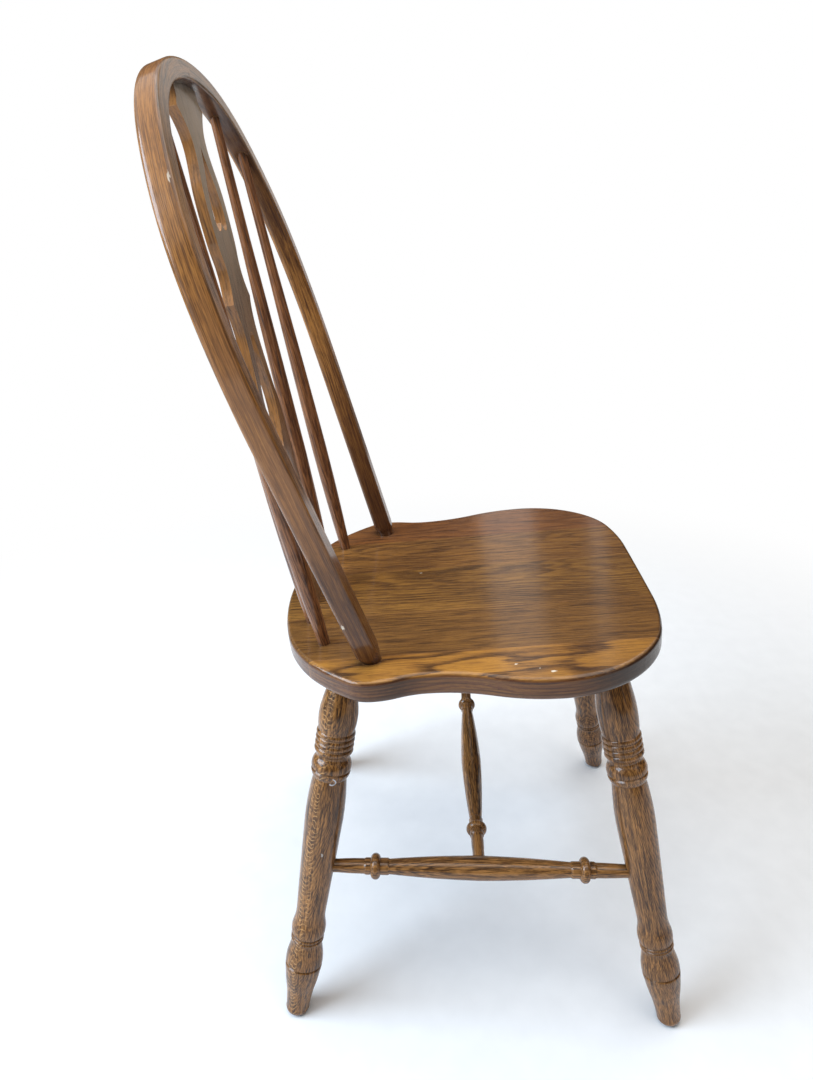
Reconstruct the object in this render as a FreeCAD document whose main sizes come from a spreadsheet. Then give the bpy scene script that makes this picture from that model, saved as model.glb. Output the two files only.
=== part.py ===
"""Wheelback dining chair in stained oak.

The chair stands on the floor at z = 0 and faces -Y, with the sitter's left at +X. The origin is on
the floor under the middle of the chair. The seat is glued up from boards, slopes down to the rear
and carries everything: four turned legs from below, and a bent bow, four spindles and a pierced
splat from above. Two side stretchers and one cross stretcher tie the legs.
"""

import FreeCAD
import Part
import Sketcher
import math
import os

doc = FreeCAD.newDocument("Chair")

# Driving dimensions, in millimetres and degrees

SIZES = [
    # The seat, whose local frame starts at the front edge of the top: x across, y to the rear
    ("seat_front_height", 458.4, "top of the seat at its front edge"),
    ("seat_front_place", -213.24, "front edge in front of the origin"),
    ("seat_slope", 4.5, "fall of the seat to the rear, degrees"),
    ("seat_thickness", 25.5, "glued panel"),
    ("seat_length", 397.5, "front edge to rear edge on the centre line"),
    ("seat_widest_half", 204.8, "half the widest width"),
    ("seat_widest_place", 116.0, "widest width behind the front edge"),
    ("seat_waist_half", 183.5, "half the width at the waist"),
    ("seat_waist_place", 241.0, "waist behind the front edge"),
    ("seat_bulge_half", 191.5, "half the width at the corner beside the bow"),
    ("seat_bulge_place", 295.5, "that corner behind the front edge"),
    ("seat_top_round", 4.5, "rounding of the top edge"),
    ("seat_under_round", 8.0, "rounding of the lower edge"),
    ("glue_line_one", -147.0, "joint between the first two boards"),
    ("glue_line_two", -65.0, "next joint"),
    ("glue_line_three", 38.0, "next joint"),
    ("glue_line_four", 121.0, "last joint"),
    # Legs, with heights measured from the floor along the leg
    ("front_foot_across", 213.0, "foot of a front leg from the centre line"),
    ("front_foot_place", -242.94, "the same, front to back"),
    ("rear_foot_across", 205.4, "foot of a rear leg from the centre line"),
    ("rear_foot_place", 176.16, "the same, front to back"),
    ("front_socket_across", 124.5, "front leg socket under the seat"),
    ("front_socket_place", 61.6, "the same, behind the front edge"),
    ("rear_socket_across", 130.0, "rear leg socket under the seat"),
    ("rear_socket_place", 325.4, "the same, behind the front edge"),
    ("leg_tenon_radius", 12.0, "tenon at the top of a leg"),
    ("leg_tenon_length", 17.0, "its length inside the seat"),
    ("leg_neck", 9.0, "plain length below the seat"),
    ("foot_radius", 13.0, "toe of the leg"),
    ("bulb_radius", 20.5, "foot bulb"),
    ("bulb_height", 67.7, "groove in the foot bulb"),
    ("band_radius", 18.4, "double band over the foot bulb"),
    ("band_height", 103.0, "middle of that band"),
    ("shaft_low_radius", 16.2, "thin end of the shaft"),
    ("shaft_radius", 20.5, "thickest part of the shaft"),
    ("shaft_swell_height", 252.0, "where that is"),
    ("shaft_top_height", 301.5, "where the shaft meets the upper bulb"),
    ("upper_bulb_radius", 20.7, "upper bulb"),
    ("upper_bulb_rise", 9.3, "groove in the upper bulb, above the top of the shaft"),
    ("neck_radius", 17.0, "cove over the upper bulb"),
    ("neck_rise", 26.1, "middle of that cove, above the top of the shaft"),
    ("reed_radius", 20.4, "reeded collar"),
    ("reed_pitch", 6.2, "height of one reed"),
    ("reed_count", 4, "reeds in the collar"),
    ("groove_depth", 1.3, "turned grooves"),
    ("groove_half", 1.6, "half the width of a turned groove"),
    ("vase_radius", 20.4, "swelling below the seat"),
    # Stretchers
    ("stretcher_height", 191.2, "side stretcher, measured up the leg"),
    ("stretcher_stop", 4.5, "end of a stretcher short of the leg's axis"),
    ("side_end_radius", 7.0, "end of a side stretcher"),
    ("side_neck_radius", 7.9, "beside its rings"),
    ("side_ring_radius", 13.5, "turned ring"),
    ("side_ring_place", 112.0, "ring from the middle"),
    ("side_swell_radius", 12.7, "middle of a side stretcher"),
    ("cross_end_radius", 6.5, "end of the cross stretcher"),
    ("cross_neck_radius", 7.0, "beside its rings"),
    ("cross_ring_radius", 11.6, "turned ring"),
    ("cross_ring_place", 117.0, "ring from the middle"),
    ("cross_swell_radius", 12.3, "middle of the cross stretcher"),
    ("ring_half", 5.3, "half the height of a turned ring"),
    # The bow, whose local frame stands on the seat: x across, z up the bow, y to the rear
    ("bow_place", 282.6, "front face of the bow behind the seat's front edge"),
    ("bow_rake", 17.7, "lean of the bow to the rear, degrees"),
    ("bow_depth", 21.7, "front face to rear face"),
    ("bow_height", 548.0, "seat to crown, up the bow"),
    ("bow_widest_half", 214.5, "half the widest width"),
    ("bow_widest_height", 325.0, "where that is"),
    ("bow_straight_half", 206.0, "half the width where the straight legs begin"),
    ("bow_straight_height", 235.0, "where that is"),
    ("bow_foot_half", 163.0, "half the width at the seat"),
    ("bow_crown_width", 17.6, "width of the strip at the crown"),
    ("bow_side_width", 20.2, "width of the strip at the sides"),
    ("bow_foot_width", 22.4, "width of the strip at the feet"),
    ("bow_front_round", 2.4, "eased front edges"),
    ("bow_rear_round", 5.0, "rounded rear edges"),
    ("bow_tenon_radius", 9.6, "round tenon whittled on each foot"),
    ("bow_tenon_length", 18.0, "its length inside the seat"),
    ("bow_shave_height", 19.0, "length of the whittled taper above the seat"),
    # Spindles
    ("outer_spindle_across", 115.0, "outer spindle in the seat"),
    ("outer_spindle_place", 344.4, "the same, behind the front edge"),
    ("outer_spindle_top", 140.6, "outer spindle in the bow"),
    ("outer_spindle_depth", 10.0, "the same, behind the bow's front face"),
    ("inner_spindle_across", 68.0, "inner spindle in the seat"),
    ("inner_spindle_place", 363.2, "the same, behind the front edge"),
    ("inner_spindle_top", 94.6, "inner spindle in the bow"),
    ("inner_spindle_depth", 14.0, "the same, behind the bow's front face"),
    ("spindle_foot_radius", 6.2, "spindle at the seat"),
    ("spindle_swell_radius", 8.8, "thickest part of a spindle"),
    ("spindle_top_radius", 4.8, "spindle at the bow"),
    ("spindle_seat_depth", 16.0, "length inside the seat"),
    ("spindle_bow_depth", 9.0, "length inside the bow"),
    # The splat
    ("splat_place", 361.5, "front face of the splat behind the seat's front edge"),
    ("splat_top_depth", 9.5, "front face of the splat behind the bow's front face"),
    ("splat_thickness", 10.0, "front to back"),
    ("splat_belly_half", 44.0, "half the widest width, low down"),
    ("splat_head_half", 34.0, "half the width of the upper tongue"),
    ("splat_foot_half", 30.0, "half the width of the lower tongue"),
    ("splat_bow_depth", 9.0, "length inside the bow"),
    ("splat_seat_depth", 12.0, "length inside the seat"),
    ("pin_radius", 1.2, "pin through the bow and the splat"),
    ("pin_length", 18.5, "that pin"),
    ("pin_across", -8.0, "pin from the centre line"),
    ("pin_drop", 14.0, "pin below the crown"),
    # Glides
    ("glide_radius", 9.0, "metal glide under a leg"),
    ("glide_height", 4.0, "thickness of the glide"),
    ("glide_round", 1.2, "its rounded lower edge"),
    ("glide_nail_radius", 1.3, "nail of the glide"),
    ("glide_nail_length", 14.0, "the same, inside the leg"),
    # Fits
    ("glue_clearance", 0.1, "room for glue round a tenon"),
    ("end_clearance", 0.6, "room at the end of a tenon"),
]

sheet = doc.addObject("Spreadsheet::Sheet", "sizes")
for row, (alias, number, note) in enumerate(SIZES, start=1):
    sheet.set("A%d" % row, alias.replace("_", " "))
    sheet.set("B%d" % row, str(number))
    sheet.set("C%d" % row, note)
    sheet.setAlias("B%d" % row, alias)
doc.recompute()


class Size:
    """A size with its value and the expression that gives it, so that both follow a sum."""

    def __init__(self, value, text=None):
        self.value = float(value)
        self.text = text or "%.6f" % value

    def __add__(self, other):
        other = as_size(other)
        return Size(self.value + other.value, "(%s + %s)" % (self.text, other.text))

    def __sub__(self, other):
        other = as_size(other)
        return Size(self.value - other.value, "(%s - %s)" % (self.text, other.text))

    def __mul__(self, other):
        other = as_size(other)
        return Size(self.value * other.value, "(%s * %s)" % (self.text, other.text))

    def __truediv__(self, other):
        other = as_size(other)
        return Size(self.value / other.value, "(%s / %s)" % (self.text, other.text))

    def __radd__(self, other):
        return as_size(other) + self

    def __rsub__(self, other):
        return as_size(other) - self

    def __rmul__(self, other):
        return as_size(other) * self


def as_size(number):
    return number if isinstance(number, Size) else Size(number)


class Named:
    """The named sizes, one attribute each."""


k = Named()
for alias, number, note in SIZES:
    setattr(k, alias, Size(sheet.get(alias), "sizes." + alias))


def bind(item, name, size):
    """Give a property its size and the expression that keeps it."""
    size = as_size(size)
    setattr(item, name, size.value)
    item.setExpression(name, size.text)


def vector(x, y, z=0.0):
    return FreeCAD.Vector(as_size(x).value, as_size(y).value, as_size(z).value)


# Drawing helpers


def origin_plane(body, role):
    for feature in body.Origin.OriginFeatures:
        if feature.Role == role:
            return feature
    raise ValueError(role)


def new_sketch(body, name, role):
    sketch = body.newObject("Sketcher::SketchObject", name)
    sketch.AttachmentSupport = (origin_plane(body, role), [""])
    sketch.MapMode = "FlatFace"
    return sketch


def draw(sketch, start, steps):
    """Draw a closed profile. A step is (end,) for a line or (via, end) for an arc through via.

    Corners given as named sizes are held by dimensions; plain numbers follow from them.
    """
    rules = []
    bound = []
    here = start
    first = previous = None
    for step in list(steps) + [(start,)]:
        there = step[-1]
        a = vector(*here)
        b = vector(*there)
        if a.distanceToPoint(b) < 1e-6:
            continue
        if len(step) == 1:
            line = Part.LineSegment(a, b)
        else:
            line = Part.Arc(a, vector(*step[0]), b)
        index = sketch.addGeometry(line, False)
        begins = 1 if sketch.getPoint(index, 1).distanceToPoint(a) < 1e-5 else 2
        if previous:
            rules.append(Sketcher.Constraint("Coincident", previous[0], previous[1], index, begins))
        else:
            first = (index, begins)
        for kind, axis, size in (("DistanceX", -2, here[0]), ("DistanceY", -1, here[1])):
            size = as_size(size)
            if abs(size.value) < 1e-9:
                rules.append(Sketcher.Constraint("PointOnObject", index, begins, axis))
            elif "sizes." in size.text:
                rules.append(Sketcher.Constraint(kind, -1, 1, index, begins, size.value))
                bound.append((len(rules) - 1, size.text))
        previous = (index, 3 - begins)
        here = there
    rules.append(Sketcher.Constraint("Coincident", previous[0], previous[1], first[0], first[1]))
    sketch.addConstraint(rules)
    for number, text in bound:
        sketch.setExpression("Constraints[%d]" % number, text)


def heading(degrees):
    return vector(math.cos(math.radians(degrees)), math.sin(math.radians(degrees)))


def fair_curve(stations):
    """Join stations (x, y, heading in degrees) by pairs of tangent arcs, as draw() steps."""
    steps = []
    for (x0, y0, turn0), (x1, y1, turn1) in zip(stations, stations[1:]):
        a = vector(x0, y0)
        b = vector(x1, y1)
        ta = heading(turn0)
        tb = heading(turn1)
        span = b - a
        both = ta + tb
        square = 2.0 * (1.0 - ta.dot(tb))
        if square < 1e-9:
            if abs(span.dot(heading(turn0 + 90.0))) < 1e-6:
                steps.append(((x1, y1),))
                continue
            reach = span.dot(span) / (4.0 * span.dot(tb))
        else:
            slant = span.dot(both)
            reach = (-slant + math.sqrt(slant * slant + square * span.dot(span))) / square
        middle = (a + b + (ta - tb) * reach) * 0.5
        for p, t, q, last in ((a, ta, middle, False), (middle, None, b, True)):
            chord = q - p
            if t is None:
                side = chord.normalize().cross(tb)
                chord = q - p
                sag = chord.Length * 0.5 * math.tan(math.asin(max(-1.0, min(1.0, side.z))) * 0.5)
            else:
                side = t.cross(FreeCAD.Vector(chord).normalize())
                sag = chord.Length * 0.5 * math.tan(math.asin(max(-1.0, min(1.0, side.z))) * 0.5)
            square_off = vector(chord.y, -chord.x).normalize()
            via = (p + q) * 0.5 + square_off * sag
            end = (x1, y1) if last else (q.x, q.y)
            if abs(sag) < 1e-6:
                steps.append((end,))
            else:
                steps.append(((via.x, via.y), end))
    return steps


def turned(name, start, steps):
    """A piece turned about its own Z axis, from a profile of (radius, height)."""
    body = doc.addObject("PartDesign::Body", name + "_blank")
    sketch = new_sketch(body, name + "_profile", "XZ_Plane")
    draw(sketch, start, steps)
    revolution = body.newObject("PartDesign::Revolution", name + "_turning")
    revolution.Profile = sketch
    revolution.ReferenceAxis = (sketch, ["V_Axis"])
    revolution.Angle = 360.0
    sketch.Visibility = False
    body.Tip = revolution
    return body


def mirrored_pad(name, role, thickness, start, steps, reverse=False):
    """A flat piece sawn to half an outline and its mirror image."""
    body = doc.addObject("PartDesign::Body", name + "_blank")
    sketch = new_sketch(body, name + "_outline", role)
    draw(sketch, start, steps)
    pad = body.newObject("PartDesign::Pad", name + "_half")
    pad.Profile = sketch
    bind(pad, "Length", thickness)
    pad.Reversed = reverse
    sketch.Visibility = False
    whole = body.newObject("PartDesign::Mirrored", name + "_whole")
    whole.Originals = [pad]
    whole.MirrorPlane = (origin_plane(body, "YZ_Plane"), [""])
    body.Tip = whole
    doc.recompute()
    return body, whole


def flat_face(feature, direction):
    """The name of the flat face that lies furthest in a direction."""
    best = None
    for number, face in enumerate(feature.Shape.Faces, start=1):
        if face.Surface.TypeId != "Part::GeomPlane":
            continue
        if face.normalAt(0, 0).dot(direction) < 0.999:
            continue
        reach = face.CenterOfMass.dot(direction)
        if best is None or reach > best[0]:
            best = (reach, "Face%d" % number)
    return best[1]


def round_face(body, base, name, direction, radius):
    fillet = body.newObject("PartDesign::Fillet", name)
    fillet.Base = (base, [flat_face(base, direction)])
    bind(fillet, "Radius", radius)
    body.Tip = fillet
    doc.recompute()
    return fillet


def rod(name, point, direction, radius, behind, ahead):
    """A cylinder on an axis, from behind a point to ahead of it, used to bore a socket."""
    cylinder = doc.addObject("Part::Cylinder", name)
    bind(cylinder, "Radius", radius)
    bind(cylinder, "Height", as_size(behind) + ahead)
    turn = FreeCAD.Rotation(vector(0, 0, 1), direction)
    cylinder.Placement = FreeCAD.Placement(point - direction * as_size(behind).value, turn)
    return cylinder


def block(name, frame, low, high):
    """A box between two corners of a local frame."""
    box = doc.addObject("Part::Box", name)
    for side, a, b in zip(("Length", "Width", "Height"), low, high):
        bind(box, side, as_size(b) - a)
    box.Placement = frame.multiply(FreeCAD.Placement(vector(*low), FreeCAD.Rotation()))
    return box


def cut(name, base, tools):
    """A piece with its sockets, bores and saw cuts taken out."""
    if len(tools) == 1:
        tool = tools[0]
    else:
        tool = doc.addObject("Part::MultiFuse", name + "_cuts")
        tool.Shapes = tools
    result = doc.addObject("Part::Cut", name + "_cut")
    result.Base = base
    result.Tool = tool
    return result


pieces = []


def keep(item, label):
    item.Label = label
    pieces.append(item)


# Frames of the seat, the bow and the splat

seat_frame = FreeCAD.Placement(
    vector(0, k.seat_front_place, k.seat_front_height),
    FreeCAD.Rotation(vector(1, 0, 0), -k.seat_slope.value),
)
seat_up = seat_frame.Rotation.multVec(vector(0, 0, 1))


def on_seat(x, y, z=0.0):
    return seat_frame.multVec(vector(x, y, z))


bow_frame = FreeCAD.Placement(
    on_seat(0, k.bow_place),
    FreeCAD.Rotation(vector(1, 0, 0), -k.bow_rake.value),
)


def on_bow(x, y, z):
    return bow_frame.multVec(vector(x, y, z))


crown_inside = k.bow_height - k.bow_crown_width
splat_foot = on_seat(0, k.splat_place)
splat_head = on_bow(0, k.splat_top_depth, crown_inside)
splat_rise = splat_head - splat_foot
splat_length = splat_rise.Length
splat_frame = FreeCAD.Placement(
    splat_foot,
    FreeCAD.Rotation(vector(0, 0, 1), splat_rise),
)


# Bow outline: stations from the crown down to the foot, with the strip's width at each

crown_rise = k.bow_height - k.bow_widest_height
foot_run = math.degrees(math.atan2(
    k.bow_straight_height.value,
    k.bow_straight_half.value - k.bow_foot_half.value,
))
foot_heading = foot_run - 180.0
foot_drop = k.bow_tenon_length + 6.0
foot_slant = math.tan(math.radians(90.0 - foot_run))

BOW_STATIONS = [
    (Size(0), k.bow_height, 0.0, k.bow_crown_width),
    (0.576 * k.bow_widest_half, k.bow_widest_height + 0.848 * crown_rise, -35.0,
     0.7 * k.bow_crown_width + 0.3 * k.bow_side_width),
    (0.872 * k.bow_widest_half, k.bow_widest_height + 0.522 * crown_rise, -60.0,
     0.35 * k.bow_crown_width + 0.65 * k.bow_side_width),
    (k.bow_widest_half, k.bow_widest_height, -90.0, k.bow_side_width),
    (k.bow_straight_half, k.bow_straight_height, foot_heading,
     0.6 * k.bow_side_width + 0.4 * k.bow_foot_width),
    (k.bow_foot_half - foot_drop * foot_slant, Size(0) - foot_drop, foot_heading, k.bow_foot_width),
]


def inside(station):
    """The inner edge of the bow beside a station of the outer edge."""
    x, y, turn, width = station
    radians = math.radians(turn)
    return (x + width * math.sin(radians), y - width * math.cos(radians), turn)


outer_edge = [station[:3] for station in BOW_STATIONS]
inner_edge = [inside(station) for station in BOW_STATIONS]
knee, toe = inner_edge[-2:]
inner_heading = math.degrees(math.atan2((toe[1] - knee[1]).value, (toe[0] - knee[0]).value))
inner_edge[-2:] = [(knee[0], knee[1], inner_heading), (toe[0], toe[1], inner_heading)]


def inner_height(across):
    """Height up the bow at which its inner edge lies a distance from the centre line."""
    start = vector(*inner_edge[0][:2])
    for step in fair_curve(inner_edge):
        end = vector(*step[-1])
        if start.x <= across <= end.x:
            edge = Part.Arc(start, vector(*step[0]), end).toShape()
            line = Part.makeLine(vector(across, start.y + 50.0), vector(across, end.y - 50.0))
            return edge.distToShape(line)[1][0][0].y
        start = end
    raise ValueError(across)


# Seat: a sawn outline with rounded edges, sockets on the axes of what they hold

rear_rise = k.seat_length - k.seat_bulge_place
seat_half = [
    (Size(0), k.seat_length, 0.0),
    (0.475 * k.seat_bulge_half, k.seat_bulge_place + 0.885 * rear_rise, -15.0),
    (0.703 * k.seat_bulge_half, k.seat_bulge_place + 0.691 * rear_rise, -33.0),
    (0.903 * k.seat_bulge_half, k.seat_bulge_place + 0.348 * rear_rise, -50.0),
    (k.seat_bulge_half, k.seat_bulge_place, -88.0),
    (k.seat_waist_half, k.seat_waist_place, -90.0),
    (k.seat_widest_half, k.seat_widest_place, -90.0),
    (0.845 * k.seat_widest_half, 0.315 * k.seat_widest_place, -134.0),
    (0.61 * k.seat_widest_half, 0.069 * k.seat_widest_place, -166.0),
    (Size(0), Size(0), -180.0),
]
seat_body, seat_whole = mirrored_pad(
    "seat", "XY_Plane", k.seat_thickness, (Size(0), k.seat_length), fair_curve(seat_half), True
)
seat_top = round_face(seat_body, seat_whole, "seat_top_edge", vector(0, 0, 1), k.seat_top_round)
round_face(seat_body, seat_top, "seat_lower_edge", vector(0, 0, -1), k.seat_under_round)
seat_body.Placement = seat_frame
seat_tools = []


# Legs


def groove(radius, height, depth=None):
    """Steps of a turned V groove with soft sides, centred on a height."""
    depth = depth or k.groove_depth
    return [
        ((radius, height - k.groove_half),),
        ((radius - depth, height),),
        ((radius, height + k.groove_half),),
    ]


def arc(via_radius, via_height, radius, height):
    return ((as_size(via_radius).value, as_size(via_height).value), (radius, height))


def leg_profile(length):
    """Steps of a leg's profile from the toe to the end of its tenon, for a length to the seat."""
    toe = k.foot_radius
    bulb_low = k.bulb_height - k.groove_half
    bulb_top = k.bulb_height + 14.0
    steps = [
        ((toe - 3.5, Size(0)),),
        arc(toe - 0.9, 3.2, toe, 9.0),
        arc(toe + 1.0, 22.0, toe + 2.6, 34.0),
        arc(toe + 4.6, 44.0, k.bulb_radius - 0.9, k.bulb_height - 9.0),
        arc(k.bulb_radius - 0.25, k.bulb_height - 5.0, k.bulb_radius - 0.1, bulb_low),
        ((k.bulb_radius - k.groove_depth, k.bulb_height),),
        ((k.bulb_radius, k.bulb_height + k.groove_half),),
        arc(k.bulb_radius - 0.1, k.bulb_height + 8.0, k.bulb_radius - 0.9, bulb_top),
        arc(k.bulb_radius - 2.2, bulb_top + 6.0, k.band_radius - 1.6, k.band_height - 8.0),
    ]
    # Two beads with a thin reed between them, then the shaft
    steps += [
        ((k.band_radius - 1.5, k.band_height - 4.6),),
        arc(k.band_radius - 0.3, k.band_height - 2.8, k.band_radius - 1.5, k.band_height - 1.0),
        arc(k.band_radius - 0.2, k.band_height + 1.0, k.band_radius - 1.5, k.band_height + 3.0),
        ((k.band_radius - 0.3, k.band_height + 4.4),),
        arc(k.band_radius + 0.4, k.band_height + 11.0, k.band_radius - 0.5, k.band_height + 18.0),
        arc(k.shaft_low_radius + 0.3, k.band_height + 25.0, k.shaft_low_radius, k.band_height + 36.0),
        arc(
            0.5 * k.shaft_low_radius + 0.5 * k.shaft_radius - 0.1,
            0.55 * k.band_height + 0.45 * k.shaft_swell_height + 20.0,
            k.shaft_radius, k.shaft_swell_height,
        ),
        arc(
            k.shaft_radius - 0.5, 0.5 * k.shaft_swell_height + 0.5 * k.shaft_top_height,
            k.shaft_radius - 2.9, k.shaft_top_height,
        ),
    ]
    # Upper bulb with its groove, cove and reeded collar
    upper_bulb = k.shaft_top_height + k.upper_bulb_rise
    neck = k.shaft_top_height + k.neck_rise
    steps += [
        arc(
            k.upper_bulb_radius - 0.8, 0.5 * k.shaft_top_height + 0.5 * upper_bulb - 0.5,
            k.upper_bulb_radius, upper_bulb - k.groove_half,
        ),
        ((k.upper_bulb_radius - k.groove_depth, upper_bulb),),
        ((k.upper_bulb_radius, upper_bulb + k.groove_half),),
        arc(k.upper_bulb_radius + 0.2, upper_bulb + 7.0, k.neck_radius + 1.0, neck - 3.4),
        arc(k.neck_radius, neck, k.reed_radius - 1.4, neck + 3.2),
    ]
    collar = neck + 3.2
    for reed in range(int(k.reed_count.value)):
        low = collar + reed * k.reed_pitch
        steps.append(arc(k.reed_radius, low + 0.5 * k.reed_pitch, k.reed_radius - 1.4,
                         low + k.reed_pitch))
    # Vase that swells and draws in to the tenon, the one part that takes up the leg's length
    collar = collar + k.reed_count * k.reed_pitch
    vase = length - k.leg_neck.value - collar.value
    steps += [
        ((k.reed_radius - 1.4, collar + 0.8),),
        arc(k.vase_radius, collar + 0.28 * vase, k.vase_radius - 1.6, collar + 0.55 * vase),
        arc(k.vase_radius - 4.6, collar + 0.8 * vase, k.leg_tenon_radius, collar + vase),
        ((k.leg_tenon_radius, length + k.leg_tenon_length),),
        ((Size(0), length + k.leg_tenon_length),),
    ]
    return steps


LEGS = [
    ("front", k.front_foot_across, k.front_foot_place, k.front_socket_across, k.front_socket_place),
    ("rear", k.rear_foot_across, k.rear_foot_place, k.rear_socket_across, k.rear_socket_place),
]
SIDES = [("right", -1), ("left", 1)]
leg_axes = {}
for place, foot_across, foot_place, socket_across, socket_place in LEGS:
    for side, sign in SIDES:
        name = "leg_%s_%s" % (place, side)
        foot = vector(sign * foot_across, foot_place)
        socket = on_seat(sign * socket_across, socket_place, Size(0) - k.seat_thickness)
        direction = (socket - foot).normalize()
        leg_axes[place, side] = (foot, direction)
        body = turned(name, (Size(0), Size(0)), leg_profile((socket - foot).Length))
        body.Placement = FreeCAD.Placement(foot, FreeCAD.Rotation(vector(0, 0, 1), direction))
        seat_tools.append(rod(
            name + "_socket", socket, direction, k.leg_tenon_radius + k.glue_clearance,
            12.0, k.leg_tenon_length + k.end_clearance,
        ))
        toe = foot + direction * (k.glide_height.value / direction.z)
        ground = FreeCAD.Placement(vector(toe.x, toe.y), FreeCAD.Rotation())
        floor_cut = block(
            name + "_floor", ground, (-30.0, -30.0, -20.0), (30.0, 30.0, k.glide_height)
        )
        nail_bore = rod(
            name + "_nail_bore", vector(toe.x, toe.y), vector(0, 0, 1),
            k.glide_nail_radius + k.glue_clearance / 2.0,
            0.0, k.glide_height + k.glide_nail_length + k.end_clearance,
        )
        stretcher_at = foot + direction * k.stretcher_height.value
        leg_axes[place, side, "at"] = stretcher_at
        leg_axes[place, side, "cuts"] = [floor_cut, nail_bore]
        leg_axes[place, side, "body"] = body

        glide = turned("glide_%s_%s" % (place, side), (Size(0), Size(0)), [
            ((k.glide_radius - k.glide_round, Size(0)),),
            arc(
                k.glide_radius - 0.29 * k.glide_round, 0.29 * k.glide_round,
                k.glide_radius, k.glide_round,
            ),
            ((k.glide_radius, k.glide_height),),
            ((k.glide_nail_radius, k.glide_height),),
            ((k.glide_nail_radius, k.glide_height + k.glide_nail_length - 2.5),),
            ((Size(0), k.glide_height + k.glide_nail_length),),
        ])
        glide.Placement = ground
        keep(glide, "glide_%s_%s" % (place, side))


# Stretchers


def stretcher_profile(half, end, neck, ring, ring_place, swell):
    """Steps of a stretcher's profile about its middle: a swell, a ring each side, slim ends."""
    shoulder = neck + 0.9
    up = [
        ((end, 2.0 * half),),
        ((end, 2.0 * half - 18.0),),
        arc(0.5 * end + 0.5 * neck + 0.2, 1.45 * half + 0.55 * ring_place.value,
            neck, half + ring_place + k.ring_half + 7.0),
        ((shoulder, half + ring_place + k.ring_half + 5.0),),
        ((shoulder, half + ring_place + k.ring_half),),
        arc(ring, half + ring_place, shoulder, half + ring_place - k.ring_half),
        ((shoulder, half + ring_place - k.ring_half - 8.0),),
        ((neck, half + ring_place - k.ring_half - 10.0),),
        arc(0.4 * neck + 0.6 * swell, half + 0.5 * ring_place, swell, Size(half)),
    ]
    down = [
        arc(0.4 * neck + 0.6 * swell, half - 0.5 * ring_place,
            neck, half - ring_place + k.ring_half + 10.0),
        ((shoulder, half - ring_place + k.ring_half + 8.0),),
        ((shoulder, half - ring_place + k.ring_half),),
        arc(ring, half - ring_place, shoulder, half - ring_place - k.ring_half),
        ((shoulder, half - ring_place - k.ring_half - 5.0),),
        ((neck, half - ring_place - k.ring_half - 7.0),),
        arc(0.5 * end + 0.5 * neck + 0.2, 0.55 * half - 0.55 * ring_place.value,
            end, Size(18.0)),
        ((end, Size(0)),),
    ]
    return up + down


def stretcher(name, a, b, end, neck, ring, ring_place, swell):
    """A turned stretcher between two axes, and the bores that take its ends."""
    direction = (b - a).normalize()
    start = a + direction * k.stretcher_stop.value
    half = (b - a).Length / 2.0 - k.stretcher_stop.value
    steps = stretcher_profile(half, end, neck, ring, ring_place, swell)
    body = turned(name, (Size(0), Size(0)), [((Size(0), Size(2.0 * half)),)] + steps)
    body.Placement = FreeCAD.Placement(start, FreeCAD.Rotation(vector(0, 0, 1), direction))
    bores = []
    for number, (point, outward) in enumerate(((a, direction), (b, direction * -1.0))):
        bores.append(rod(
            "%s_bore_%d" % (name, number), point + outward * k.stretcher_stop.value, outward,
            end + k.glue_clearance, k.end_clearance, 30.0,
        ))
    return body, bores


side_bodies = {}
side_middles = {}
for side, sign in SIDES:
    front_at = leg_axes["front", side, "at"]
    rear_at = leg_axes["rear", side, "at"]
    body, bores = stretcher(
        "stretcher_" + side, rear_at, front_at, k.side_end_radius, k.side_neck_radius,
        k.side_ring_radius, k.side_ring_place, k.side_swell_radius,
    )
    side_bodies[side] = body
    side_middles[side] = (front_at + rear_at) * 0.5
    leg_axes["rear", side, "cuts"].append(bores[0])
    leg_axes["front", side, "cuts"].append(bores[1])

cross_body, cross_bores = stretcher(
    "stretcher_cross", side_middles["right"], side_middles["left"], k.cross_end_radius,
    k.cross_neck_radius, k.cross_ring_radius, k.cross_ring_place, k.cross_swell_radius,
)
for (side, sign), bore in zip(SIDES, cross_bores):
    keep(cut("stretcher_" + side, side_bodies[side], [bore]), "stretcher_" + side)
keep(cross_body, "stretcher_cross")

for place, _, _, _, _ in LEGS:
    for side, sign in SIDES:
        name = "leg_%s_%s" % (place, side)
        leg = cut(name, leg_axes[place, side, "body"], leg_axes[place, side, "cuts"])
        keep(leg, name)


# Bow: sawn to the bent outline, edges eased, feet whittled to round tenons

bow_steps = fair_curve(outer_edge)
bow_steps.append((inner_edge[-1][:2],))
for a, b in zip(inner_edge[:0:-1], inner_edge[-2::-1]):
    bow_steps += fair_curve([(a[0], a[1], a[2] + 180.0), (b[0], b[1], b[2] + 180.0)])
bow_body, bow_whole = mirrored_pad(
    "bow", "XZ_Plane", k.bow_depth, (Size(0), k.bow_height), bow_steps, True
)
bow_front = round_face(bow_body, bow_whole, "bow_front_edges", vector(0, -1, 0), k.bow_front_round)
round_face(bow_body, bow_front, "bow_rear_edges", vector(0, 1, 0), k.bow_rear_round)
bow_body.Placement = bow_frame
bow_tools = []

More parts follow.
